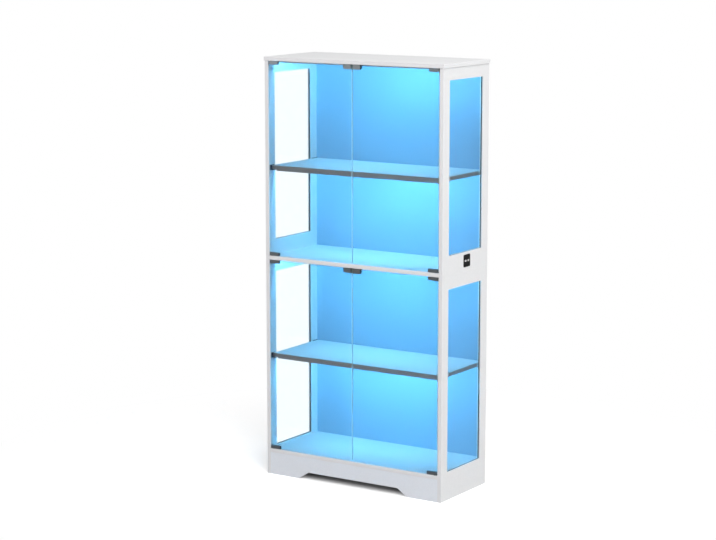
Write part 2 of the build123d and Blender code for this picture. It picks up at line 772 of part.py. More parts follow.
def carcass_nodes():
    """Everything that stays still."""
    nodes = {
        "top_panel": top_panel(),
        "middle_panel": flat_panel(SEAM, middle_pivots()),
        "bottom_panel": flat_panel(PLINTH_HEIGHT, [p for p in pivot_places("lower") if p[2] < 0]),
        "upper_shelf": shelf(UPPER_SHELF_TOP),
        "lower_shelf": shelf(LOWER_SHELF_TOP),
        "shelf_nosings": joined(shelf_nosing(top) for top in (UPPER_SHELF_TOP, LOWER_SHELF_TOP)),
        "plinth_front": plinth_front(),
        "plinth_rear": plinth_rear(),
        "shelf_brackets": joined(shelf_brackets()),
        "pivot_bushes": joined(bush(*place) for level in LEVELS for place in pivot_places(level)),
        "light_channels": joined(light_channel(z) for z in light_levels()),
        "light_tapes": joined(light_tape(z) for z in light_levels()),
        "light_lenses": joined(light_lens(z) for z in light_levels()),
        "outlet_bezel": outlet_bezel(),
        "outlet_body": outlet_body(),
        "outlet_ports": outlet_ports(),
        "cable_grommet": cable_grommet(),
        "cam_locks": joined(cam_locks()),
        "cam_bolts": joined(cam_bolts()),
        "cam_caps": joined(cam_caps()),
        "wood_dowels": joined(dowels()),
        "back_panel_screws": joined(
            back_screw(x, z + FLAT_BOARD / 2) for x in screw_columns() for z in (PLINTH_HEIGHT, SEAM)
        ),
    }
    rings, beads = [], []
    for level in LEVELS:
        nodes[f"back_panel_{level}"] = back_panel(level)
        nodes[f"latch_housing_{level}"] = latch_housing(level)
        for name, side in SIDES.items():
            nodes[f"side_panel_{level}_{name}"] = side_panel(side, level)
            nodes[f"side_glass_{level}_{name}"] = side_glass(side, level)
            rings.append(gasket(side, level))
            beads += glazing_beads(side, level)
    nodes["window_gaskets"] = joined(rings)
    nodes["glazing_beads"] = joined(beads)
    return nodes


def middle_pivots():
    """Pivot holes in the middle board: the upper doors' from above and the lower doors' from below."""
    above = [p for p in pivot_places("upper") if p[2] < 0]
    return above + [p for p in pivot_places("lower") if p[2] > 0]


def door_nodes():
    """The four doors, each with its hinges, strike and screws, and the four plungers."""
    nodes = {}
    for level in LEVELS:
        for name, side in SIDES.items():
            tag = f"{level}_{name}"
            nodes[f"door_glass_{tag}"] = door_glass(side, level)
            nodes[f"top_hinge_{tag}"] = hinge(side, level, True)
            nodes[f"bottom_hinge_{tag}"] = hinge(side, level, False)
            nodes[f"strike_clip_{tag}"] = strike(side, level)
            nodes[f"grub_screws_{tag}"] = joined(door_grubs(side, level))
            nodes[f"latch_plunger_{tag}"] = plunger(side, level)
    return nodes


def main():
    """Writes each node to its own STEP file."""
    os.makedirs("parts", exist_ok=True)
    for name, shape in {**carcass_nodes(), **door_nodes()}.items():
        export_step(shape, f"parts/{name}.step")


main()
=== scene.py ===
import json
import logging
import math
from dataclasses import dataclass, field
from enum import Enum
from typing import Any, Iterable, Sequence

import bpy
import numpy as np
from mathutils import Euler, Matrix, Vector


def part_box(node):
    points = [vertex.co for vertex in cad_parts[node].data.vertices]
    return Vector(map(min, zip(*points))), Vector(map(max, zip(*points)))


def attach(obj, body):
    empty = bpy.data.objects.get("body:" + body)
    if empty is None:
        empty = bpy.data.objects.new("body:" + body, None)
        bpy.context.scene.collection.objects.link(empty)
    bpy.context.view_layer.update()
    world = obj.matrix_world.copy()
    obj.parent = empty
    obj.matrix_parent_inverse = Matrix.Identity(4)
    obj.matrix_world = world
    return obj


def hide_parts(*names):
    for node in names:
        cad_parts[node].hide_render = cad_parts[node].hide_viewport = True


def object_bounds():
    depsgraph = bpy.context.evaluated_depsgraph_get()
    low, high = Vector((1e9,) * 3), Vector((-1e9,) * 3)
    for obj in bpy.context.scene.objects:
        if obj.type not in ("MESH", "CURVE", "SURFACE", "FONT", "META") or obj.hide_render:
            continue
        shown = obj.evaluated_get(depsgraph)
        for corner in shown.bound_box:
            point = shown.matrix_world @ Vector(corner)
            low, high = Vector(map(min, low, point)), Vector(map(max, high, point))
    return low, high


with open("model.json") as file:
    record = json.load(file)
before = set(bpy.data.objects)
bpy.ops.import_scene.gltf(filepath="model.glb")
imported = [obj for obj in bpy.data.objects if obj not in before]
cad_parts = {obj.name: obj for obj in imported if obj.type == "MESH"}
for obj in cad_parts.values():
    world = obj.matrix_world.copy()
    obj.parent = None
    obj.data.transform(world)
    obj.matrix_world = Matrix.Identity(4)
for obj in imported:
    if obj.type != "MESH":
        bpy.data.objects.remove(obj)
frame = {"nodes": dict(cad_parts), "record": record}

LOG = logging.getLogger("display_cabinet")
MM = 0.001

# Smallest part of a unit normal along an axis that counts as looking along it
LOOKS_ALONG = 0.7

# A ray whose count of bounces is over this has met at least one surface
ONE_BOUNCE = 0.5

# Sockets of the Mix node by number, since its kinds of data share their names
FACTOR = 0
NUMBER_A = 2
NUMBER_B = 3
COLOUR_A = 6
COLOUR_B = 7
COLOUR_RESULT = 2

Point = tuple[float, float, float]
Tree = bpy.types.NodeTree
Source = bpy.types.Node | bpy.types.NodeSocket


def as_lists(corners: Iterable[Iterable[float]]) -> list[list[float]]:
    """Corners as plain lists of numbers."""
    return [[float(value) for value in corner] for corner in corners]


BOUNDS_AT_LOAD = as_lists(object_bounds())


class Side(Enum):
    """The two sides of the cabinet, seen from the front."""

    LEFT = "left"
    RIGHT = "right"


class Level(Enum):
    """The two stacked modules."""

    UPPER = "upper"
    LOWER = "lower"


class Facing(Enum):
    """The faces of a board that look to the front or to the rear, with the sign of their Y."""

    FRONT = -1.0
    REAR = 1.0


class Clamp(Enum):
    """The clamps on a door's pane, by the first words of their nodes' names."""

    TOP_HINGE = "top_hinge"
    BOTTOM_HINGE = "bottom_hinge"
    STRIKE_CLIP = "strike_clip"


class Met(Enum):
    """The kinds of surface that a ray may have met, with the Light Path node's name for its count of each."""

    MATT = "Diffuse Depth"
    SHINY = "Glossy Depth"


def linear(code: str) -> tuple[float, float, float, float]:
    """Turns an sRGB hex colour into linear light.

    Args:
        code: six hex digits, with or without a leading hash sign.

    Returns:
        Linear red, green and blue, with an alpha of 1.
    """
    digits = code.lstrip("#")
    srgb = np.array([int(digits[i : i + 2], 16) for i in (0, 2, 4)]) / 255.0
    light = np.where(srgb <= 0.04045, srgb / 12.92, ((srgb + 0.055) / 1.055) ** 2.4)
    return (*(float(value) for value in light), 1.0)


def add(tree: Tree, kind: str, inputs: dict | None = None, **settings: Any) -> bpy.types.Node:
    """Adds one node with its settings, its values and its links.

    Args:
        tree: the node tree that gets the node.
        kind: the node's Blender type name.
        inputs: socket name or number to a value, to the output socket that feeds it, or to the node whose
            first output feeds it.
        **settings: properties of the node itself.

    Returns:
        The new node.
    """
    node = tree.nodes.new(kind)
    for name, value in settings.items():
        setattr(node, name, value)
    for name, value in (inputs or {}).items():
        if isinstance(value, bpy.types.Node):
            value = value.outputs[0]
        if isinstance(value, bpy.types.NodeSocket):
            tree.links.new(value, node.inputs[name])
        else:
            node.inputs[name].default_value = value
    return node


# Finishes


@dataclass(frozen=True)
class Finish:
    """A finish that a piece is made with. Each kind adds its own pattern and shader in the method dress.

    Attributes:
        name: name of its material.
    """

    name: str

    def dress(self, tree: Tree) -> Source:
        """Adds the pattern and the shader to a tree, and gives what feeds the material's surface."""
        raise NotImplementedError

    def material(self) -> bpy.types.Material:
        """The finish as a Blender material, made once.

        Returns:
            The material that has the finish's name.
        """
        found = bpy.data.materials.get(self.name)
        if found:
            return found
        made = bpy.data.materials.new(self.name)
        made.use_nodes = True
        tree = made.node_tree
        tree.nodes.clear()
        add(tree, "ShaderNodeOutputMaterial", {"Surface": self.dress(tree)})
        return made


@dataclass(frozen=True, kw_only=True)
class PatternedFinish(Finish):
    """An opaque finish with a stretched noise that varies its tone, gloss and relief.

    Attributes:
        dark: hex colour of the low spots.
        light: hex colour of the high spots.
        grain_mm: size of the pattern along X, Y and Z.
        roughness: lowest and highest roughness.
        metallic: 1 for bare metal.
        relief_mm: depth of the relief.
        relief_strength: how fully the relief turns the light, from 0 to 1.
        octaves: finer layers of the noise.
    """

    dark: str
    light: str
    grain_mm: Point
    roughness: tuple[float, float]
    metallic: float = 0.0
    relief_mm: float = 0.02
    relief_strength: float = 0.6
    octaves: float = 3.0

    def noise(self, tree: Tree) -> Source:
        """The pattern on Object coordinates: one cell of noise per grain size.

        Args:
            tree: the material's node tree.

        Returns:
            A value from 0 to 1.
        """
        place = add(tree, "ShaderNodeTexCoord").outputs["Object"]
        scale = tuple(1.0 / (size * MM) for size in self.grain_mm)
        spread = add(tree, "ShaderNodeMapping", {"Vector": place, "Scale": scale})
        return add(tree, "ShaderNodeTexNoise", {"Vector": spread, "Scale": 1.0, "Detail": self.octaves})

    def colour(self, tree: Tree, noise: Source) -> Source:
        """The base colour: dark where the noise is low, and light where it is high."""
        tones = {FACTOR: noise, COLOUR_A: linear(self.dark), COLOUR_B: linear(self.light)}
        return add(tree, "ShaderNodeMix", tones, data_type="RGBA").outputs[COLOUR_RESULT]

    def dress(self, tree: Tree) -> Source:
        """Adds the pattern and a Principled shader that it feeds.

        Args:
            tree: the material's node tree.

        Returns:
            The shader.
        """
        noise = self.noise(tree)
        low, high = self.roughness
        relief = {"Height": noise, "Distance": self.relief_mm * MM, "Strength": self.relief_strength}
        inputs = {
            "Base Color": self.colour(tree, noise),
            "Roughness": add(tree, "ShaderNodeMapRange", {"Value": noise, "To Min": low, "To Max": high}),
            "Metallic": self.metallic,
            "Normal": add(tree, "ShaderNodeBump", relief),
        }
        return add(tree, "ShaderNodeBsdfPrincipled", inputs)


@dataclass(frozen=True, kw_only=True)
class EdgedBoard(PatternedFinish):
    """Board whose front or rear faces have a tone of their own, as an edge band or a raw side has.

    Attributes:
        band: hex colour of those faces.
        toward: which faces they are.
    """

    band: str
    toward: Facing

    def colour(self, tree: Tree, noise: Source) -> Source:
        """The base colour: the band's on the faces that look its way, and the board's elsewhere.

        Args:
            tree: the material's node tree.
            noise: the pattern.

        Returns:
            The colour.
        """
        normal = add(tree, "ShaderNodeTexCoord").outputs["Normal"]
        along = add(tree, "ShaderNodeSeparateXYZ", {0: normal}).outputs["Y"]
        looks = add(tree, "ShaderNodeMath", {0: along, 1: self.toward.value}, operation="MULTIPLY")
        banded = add(tree, "ShaderNodeMath", {0: looks, 1: LOOKS_ALONG}, operation="GREATER_THAN")
        tones = {FACTOR: banded, COLOUR_A: super().colour(tree, noise), COLOUR_B: linear(self.band)}
        return add(tree, "ShaderNodeMix", tones, data_type="RGBA").outputs[COLOUR_RESULT]


@dataclass(frozen=True, kw_only=True)
class ClearGlass(Finish):
    """Clear glass with a ground edge, whose tint shows only where one looks along the pane.

    Attributes:
        across: the axis, X or Y, that the pane's faces look along.
        body: hex colour of the faces.
        edge: hex colour of the ground edges.
        edge_clearness: how much light passes the ground edges. The rest they scatter.
        ground: roughness of the ground edges.
        smear: roughness of the faces where wiping has left them dullest.
        smear_mm: size of the smears.
        smear_from: noise values where a smear starts and where it is at its dullest.
        ior: index of refraction, as in plain soda-lime glass.
    """

    across: str
    body: str = "#FBFDFD"
    edge: str = "#A9D4CE"
    edge_clearness: float = 0.25
    ground: float = 0.4
    smear: float = 0.03
    smear_mm: float = 25.0
    smear_from: tuple[float, float] = (0.45, 0.8)
    ior: float = 1.5

    def rough(self, tree: Tree, place: bpy.types.NodeSocket, rim: Source) -> Source:
        """The roughness: ground at the rim, and polished on the faces with faint smears.

        Args:
            tree: the material's node tree.
            place: Object coordinates.
            rim: 1 on the ground edges and 0 on the faces.

        Returns:
            The roughness.
        """
        start, full = self.smear_from
        noise = add(tree, "ShaderNodeTexNoise", {"Vector": place, "Scale": 1.0 / (self.smear_mm * MM)})
        ends = {"Value": noise, "From Min": start, "From Max": full, "To Min": 0.0, "To Max": self.smear}
        smear = add(tree, "ShaderNodeMapRange", ends)
        return add(tree, "ShaderNodeMath", {0: rim, 1: self.ground, 2: smear}, operation="MULTIPLY_ADD")

    def dress(self, tree: Tree) -> Source:
        """Adds polished faces and a frosted, tinted edge, told apart by the way that the surface looks.

        Args:
            tree: the material's node tree.

        Returns:
            The shader.
        """
        place = add(tree, "ShaderNodeTexCoord")
        facing = add(tree, "ShaderNodeSeparateXYZ", {0: place.outputs["Normal"]}).outputs[self.across]
        straight = add(tree, "ShaderNodeMath", {0: facing}, operation="ABSOLUTE")
        rim = add(tree, "ShaderNodeMath", {0: straight, 1: LOOKS_ALONG}, operation="LESS_THAN")
        tones = {FACTOR: rim, COLOUR_A: linear(self.body), COLOUR_B: linear(self.edge)}
        clear = {"Value": rim, "To Min": 1.0, "To Max": self.edge_clearness}
        inputs = {
            "Base Color": add(tree, "ShaderNodeMix", tones, data_type="RGBA").outputs[COLOUR_RESULT],
            "Roughness": self.rough(tree, place.outputs["Object"], rim),
            "IOR": self.ior,
            "Transmission Weight": add(tree, "ShaderNodeMapRange", clear),
        }
        return add(tree, "ShaderNodeBsdfPrincipled", inputs)


@dataclass(frozen=True)
class LitLens(Finish):
    """Milky cover over lit emitters, a little brighter over each of them.

    Attributes:
        milk: hex colour of the unlit plastic.
        light: hex colour of the light.
        strength: strength between the emitters.
        ripple: strength over an emitter, as a multiple of that.
        pitch_mm: distance from one emitter to the next.
        roughness: roughness of the plastic.
    """

    milk: str = "#E8F4F8"
    light: str = "#5CC8FF"
    strength: float = 1.4
    ripple: float = 1.4
    pitch_mm: float = 16.7
    roughness: float = 0.35

    def dress(self, tree: Tree) -> Source:
        """Adds a Principled shader that glows, with a cosine of X whose wave is the emitters' pitch.

        Args:
            tree: the material's node tree.

        Returns:
            The shader.
        """
        place = add(tree, "ShaderNodeTexCoord").outputs["Object"]
        along = add(tree, "ShaderNodeSeparateXYZ", {0: place}).outputs["X"]
        turns = math.tau / (self.pitch_mm * MM)
        angle = add(tree, "ShaderNodeMath", {0: along, 1: turns}, operation="MULTIPLY")
        wave = add(tree, "ShaderNodeMath", {0: angle}, operation="COSINE")
        dim = self.strength
        ends = {"Value": wave, "From Min": -1.0, "From Max": 1.0, "To Min": dim, "To Max": dim * self.ripple}
        inputs = {
            "Base Color": linear(self.milk),
            "Roughness": self.roughness,
            "Emission Color": linear(self.light),
            "Emission Strength": add(tree, "ShaderNodeMapRange", ends),
        }
        return add(tree, "ShaderNodeBsdfPrincipled", inputs)


BOARD = EdgedBoard(
    # Melamine-faced particle board, pressed on a satin plate: even white, with a fine pearl. The real pearl
    # is 0.5 mm, drawn at 6 mm so that it shows. Its ABS edge band, at the front, is a shade darker.
    "melamine_faced_board",
    dark="#E0E1E2",
    light="#EAEAEB",
    grain_mm=(6.0, 6.0, 6.0),
    roughness=(0.38, 0.5),
    relief_mm=0.03,
    band="#DDDCDE",
    toward=Facing.FRONT,
)
PLINTH = PatternedFinish(
    # The same board with its face to the front: a cooler white than the edge bands above it. Its darker,
    # cooler tone than the board's own white is painted shade, for the light that this front face gets.
    "plinth_board_with_painted_shade",
    dark="#DADDE4",
    light="#E3E6EC",
    grain_mm=(6.0, 6.0, 6.0),
    roughness=(0.38, 0.5),
    relief_mm=0.03,
)
BACK = EdgedBoard(
    # Thin fibreboard, left raw outside: brown felted fibres about 4 mm long. The ice blue of its inside face
    # is painted light: the strips' blue glow, laid into its colour.
    "fibreboard_with_painted_blue_light",
    dark="#97B4CC",
    light="#A2BFD5",
    grain_mm=(4.0, 4.0, 4.0),
    roughness=(0.45, 0.6),
    band="#B79F80",
    toward=Facing.REAR,
)
SIDE_GLASS = ClearGlass(
    # Float glass with ground edges: clear faces, and a pale sea-green edge where its iron shows.
    "float_glass_side",
    across="X",
)
DOOR_GLASS = ClearGlass(
    # Tempered glass with ground edges: clear faces, and an edge that looks like frost, with hardly a tint.
    "tempered_glass_door",
    across="Y",
    edge="#DDF6F6",
)
GASKET = PatternedFinish(
    # Extruded EPDM rubber: matt dark grey, with faint lines along Z, 2 mm apart. Lining the side windows'
    # reveals, its dark grey is partly painted shade: the dark that falls along the rear reveals.
    "epdm_rubber_and_painted_shade",
    dark="#26292C",
    light="#34383B",
    grain_mm=(2.0, 2.0, 60.0),
    roughness=(0.7, 0.85),
)
WHITE_PLASTIC = PatternedFinish(
    # Moulded ABS: smooth satin white. Its spark texture is drawn at 1 mm so that it shows.
    "moulded_white_abs",
    dark="#E2E2E2",
    light="#EDEDED",
    grain_mm=(1.0, 1.0, 1.0),
    roughness=(0.35, 0.45),
)
BLACK_PLASTIC = PatternedFinish(
    # Moulded black ABS: its spark texture, drawn at 1 mm so that it shows, breaks up its gloss.
    "moulded_black_abs",
    dark="#040405",
    light="#0A0A0B",
    grain_mm=(1.0, 1.0, 1.0),
    roughness=(0.25, 0.35),
)
NYLON = PatternedFinish(
    # Moulded grey nylon: waxy, slightly mottled at 3 mm.
    "moulded_grey_nylon",
    dark="#8E9296",
    light="#9CA0A4",
    grain_mm=(3.0, 3.0, 3.0),
    roughness=(0.4, 0.5),
)
STEEL = PatternedFinish(
    # Stainless steel, brushed along X with 180 grit: streaks 8 mm long. The real ones are under 0.1 mm wide,
    # drawn at 0.4 mm so that they show.
    "brushed_stainless_steel",
    dark="#8B9297",
    light="#ABB2B7",
    grain_mm=(8.0, 0.4, 0.4),
    roughness=(0.3, 0.45),
    metallic=1.0,
    relief_mm=0.005,
)
BRACKET = PatternedFinish(
    # Pressed steel with a dark powder coat: orange peel of 1.5 mm. Its dark blue-grey is partly painted
    # shade: the dark that falls at the shelf ends in the strips' blue light.
    "dark_steel_and_painted_shade",
    dark="#1B2430",
    light="#27323F",
    grain_mm=(1.5, 1.5, 1.5),
    roughness=(0.4, 0.55),
)
ALUMINIUM = PatternedFinish(
    # Silver anodised aluminium extrusion: die lines along X, about 0.5 mm apart. Its milky oxide layer
    # scatters half of the light, so it never looks like a mirror.
    "anodised_aluminium",
    dark="#C2C8CD",
    light="#D8DDE1",
    grain_mm=(120.0, 0.5, 0.5),
    roughness=(0.3, 0.42),
    metallic=0.5,
    relief_mm=0.004,
)
TAPE = PatternedFinish(
    # White solder mask over copper: flat white with faint traces along X.
    "white_circuit_tape",
    dark="#CFD8DE",
    light="#EEF3F6",
    grain_mm=(8.0, 1.0, 1.0),
    roughness=(0.3, 0.4),
)
LENS = LitLens(
    # Extruded opal polycarbonate over lit emitters: a milky, ice-blue glow with a soft ripple.
    "lit_opal_polycarbonate",
)
ZINC_ALLOY = PatternedFinish(
    # Die-cast zinc: dull grey, with a cold-flow mottle of 2 mm.
    "die_cast_zinc",
    dark="#85888B",
    light="#A3A6A9",
    grain_mm=(2.0, 2.0, 2.0),
    roughness=(0.42, 0.6),
    metallic=1.0,
)
ZINC_STEEL = PatternedFinish(
    # Zinc-plated steel: bright, faintly yellow-blue in patches of 3 mm.
    "zinc_plated_steel",
    dark="#A6A89F",
    light="#C3C6C8",
    grain_mm=(3.0, 3.0, 3.0),
    roughness=(0.25, 0.4),
    metallic=1.0,
)
BEECH = PatternedFinish(
    # Turned beech: short brown flecks along the grain, 6 mm long.
    "turned_beech",
    dark="#B58A5C",
    light="#D3AE80",
    grain_mm=(0.7, 0.7, 6.0),
    roughness=(0.5, 0.65),
)
BLACK_STEEL = PatternedFinish(
    # Black-oxide steel: near-black, with an oily sheen.
    "black_oxide_steel",
    dark="#0E0F11",
    light="#1B1C1F",
    grain_mm=(1.0, 1.0, 1.0),
    roughness=(0.3, 0.45),
    metallic=1.0,
)

SLOT_FINISHES: dict[str, Finish] = {
    "white_laminated_board": BOARD,
    "clear_side_glass": SIDE_GLASS,
    "clear_door_glass": DOOR_GLASS,
    "white_plastic": WHITE_PLASTIC,
    "dark_rubber": GASKET,
    "dark_metal": BRACKET,
    "grey_plastic": NYLON,
    "anodised_aluminium": ALUMINIUM,
    "light_tape": TAPE,
    "light_lens": LENS,
    "black_plastic": BLACK_PLASTIC,
    "zinc_alloy": ZINC_ALLOY,
    "zinc_steel": ZINC_STEEL,
    "beech": BEECH,
    "satin_steel": STEEL,
    "black_steel": BLACK_STEEL,
}


# Surfaces


def grid_faces(rows: int, columns: int, close_rows: bool, close_columns: bool) -> np.ndarray:
    """Quads of a grid of points.

    Args:
        rows: number of points along the first parameter.
        columns: number of points along the second parameter.
        close_rows: joins the last row to the first.
        close_columns: joins the last column to the first.

    Returns:
        Four point numbers per quad, wound so that row direction cross column direction is outward.
    """
    i = np.arange(rows if close_rows else rows - 1)[:, None]
    j = np.arange(columns if close_columns else columns - 1)[None, :]
    after_i = (i + 1) % rows
    after_j = (j + 1) % columns
    corners = [i * columns + j, after_i * columns + j, after_i * columns + after_j, i * columns + after_j]
    return np.stack([np.broadcast_to(c, (i.size, j.size)).ravel() for c in corners], axis=1)


def mesh_object(name: str, points: np.ndarray, faces: Sequence[Sequence[int]]) -> bpy.types.Object:
    """Puts points and faces into a new object at the origin.

    Args:
        name: the object's name.
        points: one row of X, Y and Z per point, in metres.
        faces: point numbers of each face.

    Returns:
        The new object, linked to the scene.
    """
    mesh = bpy.data.meshes.new(name)
    mesh.from_pydata(points.tolist(), [], [list(map(int, face)) for face in faces])
    mesh.validate()
    made = bpy.data.objects.new(name, mesh)
    bpy.context.scene.collection.objects.link(made)
    return made


def swept_bars(name: str, bars: Sequence[tuple[np.ndarray, Point]], length: float) -> bpy.types.Object:
    """Bars, each with a profile that is carried along X from its start.

    A point is start + u * length * X + profile(v), where u is 0 or 1 and v runs round the closed profile.

    Args:
        name: the object's name.
        bars: a profile and a start for each bar. A profile is one row of Y and Z per point of its closed
            outline, anticlockwise seen from +X.
        length: the bars' length in metres.

    Returns:
        One object with all the bars, closed at both ends.
    """
    points: list[np.ndarray] = []
    faces: list[Sequence[int]] = []
    for profile, start in bars:
        count = len(profile)
        shift = sum(map(len, points))
        outline = np.column_stack([np.zeros(count), profile]) + start
        points += [outline, outline + (length, 0.0, 0.0)]
        ring = np.arange(count) + shift
        faces += [*(grid_faces(2, count, False, True)[:, ::-1] + shift), ring[::-1], ring + count]
    return mesh_object(name, np.concatenate(points), faces)


def finish_piece(piece: bpy.types.Object, finish: Finish, body: str = "carcass") -> None:
    """Gives a piece its finish and the body it rides on.

    Args:
        piece: the finished mesh.
        finish: what it is made of.
        body: the CAD body.
    """
    piece.data.materials.append(finish.material())
    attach(piece, body)
    LOG.info("%s: %d faces", piece.name, len(piece.data.polygons))


def span(node: str) -> tuple[np.ndarray, np.ndarray]:
    """Lowest and highest corner of a CAD node, as arrays."""
    low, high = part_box(node)
    return np.array(low), np.array(high)


def cad_points(node: str) -> np.ndarray:
    """Reads the points of a CAD node.

    Args:
        node: the node's name.

    Returns:
        One row of X, Y and Z per point, in metres.
    """
    data = frame["nodes"][node].data
    points = np.empty(len(data.vertices) * 3)
    data.vertices.foreach_get("co", points)
    return points.reshape(-1, 3)


# Sub-assemblies


@dataclass
class Carcass:
    """The boards and their fittings: only finishes, since their shapes come from the CAD.

    Attributes:
        special: nodes whose finish isn't that of their slot.
    """

    special: dict[str, Finish] = field(
        default_factory=lambda: {"back_panel_upper": BACK, "back_panel_lower": BACK, "plinth_front": PLINTH}
    )

    def build(self) -> None:
        """Dresses each CAD node with the finish of its slot."""
        slots = {entry["node"]: entry["material_slot"] for entry in frame["record"]["subparts"]}
        for node, obj in frame["nodes"].items():
            finish = self.special.get(node, SLOT_FINISHES[slots[node]])
            for place in obj.material_slots:
                place.material = finish.material()
            if not obj.material_slots:
                obj.data.materials.append(finish.material())
            LOG.info("%s: %s", node, finish.name)


@dataclass
class ShelfTrims:
    """Aluminium nosing along the front edge of each shelf.

    Attributes:
        thickness: how far the nosing stands in front of the board.
        nose: radius of its two long edges.
        steps: points on each rounded edge.
    """

    thickness: float = 1.2 * MM
    nose: float = 0.8 * MM
    steps: int = 5

    def profile(self, height: float) -> np.ndarray:
        """Outline of a flat strip whose two front edges are quarter rounds.

        A point of the lower round is its centre + nose * (-sin t, -cos t), and one of the upper round is its
        centre + nose * (-cos t, sin t), where t runs over a quarter turn.

        Args:
            height: height of the board's edge.

        Returns:
            One row of Y and Z per point, anticlockwise seen from +X, from the board's lower front edge.
        """
        turn = np.linspace(0.0, math.pi / 2, self.steps)
        front = -(self.thickness - self.nose)
        lower = self.nose * np.column_stack([-np.sin(turn), -np.cos(turn)]) + (front, self.nose)
        upper = self.nose * np.column_stack([-np.cos(turn), np.sin(turn)]) + (front, height - self.nose)
        back = np.array([[0.0, height], [0.0, 0.0]])
        return np.concatenate([lower, upper, back])[::-1]

    def build(self) -> None:
        """Adds the nosing of both shelves as one piece."""
        low, high = span("upper_shelf")
        profile = self.profile(high[2] - low[2])
        bars = [(profile, span(shelf)[0]) for shelf in ("upper_shelf", "lower_shelf")]
        piece = swept_bars("shelf_nosing_strips", bars, high[0] - low[0])
        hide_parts("shelf_nosings")
        finish_piece(piece, ALUMINIUM)


@dataclass
class ClampEndShade:
    """Black sheets on the end faces of each door's clamps, round the glass: painted shade, standing in for
    the dark that falls on those end faces.

    Attributes:
        thickness: how far a sheet stands out of the clamp's end.
        wall: thickness of a clamp's cheeks and web.
        hinge_height: height of a hinge clamp.
    """

    thickness: float = 0.6 * MM
    wall: float = 2.0 * MM
    hinge_height: float = 12.0 * MM

    def profile(self, depth: float, height: float, opens_up: bool) -> np.ndarray:
        """Outline of a U round the glass.

        Args:
            depth: size along Y.
            height: size along Z.
            opens_up: whether the U opens upward, and not downward.

        Returns:
            One row of Y and Z per corner, anticlockwise seen from +X, measured from the front of the web's
            outer face.
        """
        corners = np.array(
            [
                [0.0, -height],
                [self.wall, -height],
                [self.wall, -self.wall],
                [depth - self.wall, -self.wall],
                [depth - self.wall, -height],
                [depth, -height],
                [depth, 0.0],
                [0.0, 0.0],
            ]
        )
        return (corners * (1.0, -1.0))[::-1] if opens_up else corners

    def build_door(self, door: str) -> None:
        """Adds the painted-shade sheets of one door as a piece that rides on it.

        Args:
            door: the door's level and side, the last words of its nodes' names.
        """
        glass_low, glass_high = span(f"door_glass_{door}")
        bars: list[tuple[np.ndarray, Point]] = []
        for clamp in Clamp:
            low, high = span(f"{clamp.value}_{door}")
            opens_up = clamp is Clamp.BOTTOM_HINGE
            height = high[2] - low[2] if clamp is Clamp.STRIKE_CLIP else self.hinge_height
            web = glass_low[2] - self.wall if opens_up else glass_high[2] + self.wall
            profile = self.profile(high[1] - low[1], height, opens_up)
            bars += [(profile, (x, low[1], web)) for x in (low[0] - self.thickness, high[0])]
        # Black sheets of painted shade on both ends of each clamp.
        shade_sheets = swept_bars(f"clamp_end_painted_shade_{door}", bars, self.thickness)
        finish_piece(shade_sheets, BLACK_PLASTIC, f"door_{door}")

    def build(self) -> None:
        """Adds the painted-shade sheets of each door."""
        for level in Level:
            for side in Side:
                self.build_door(f"{level.value}_{side.value}")


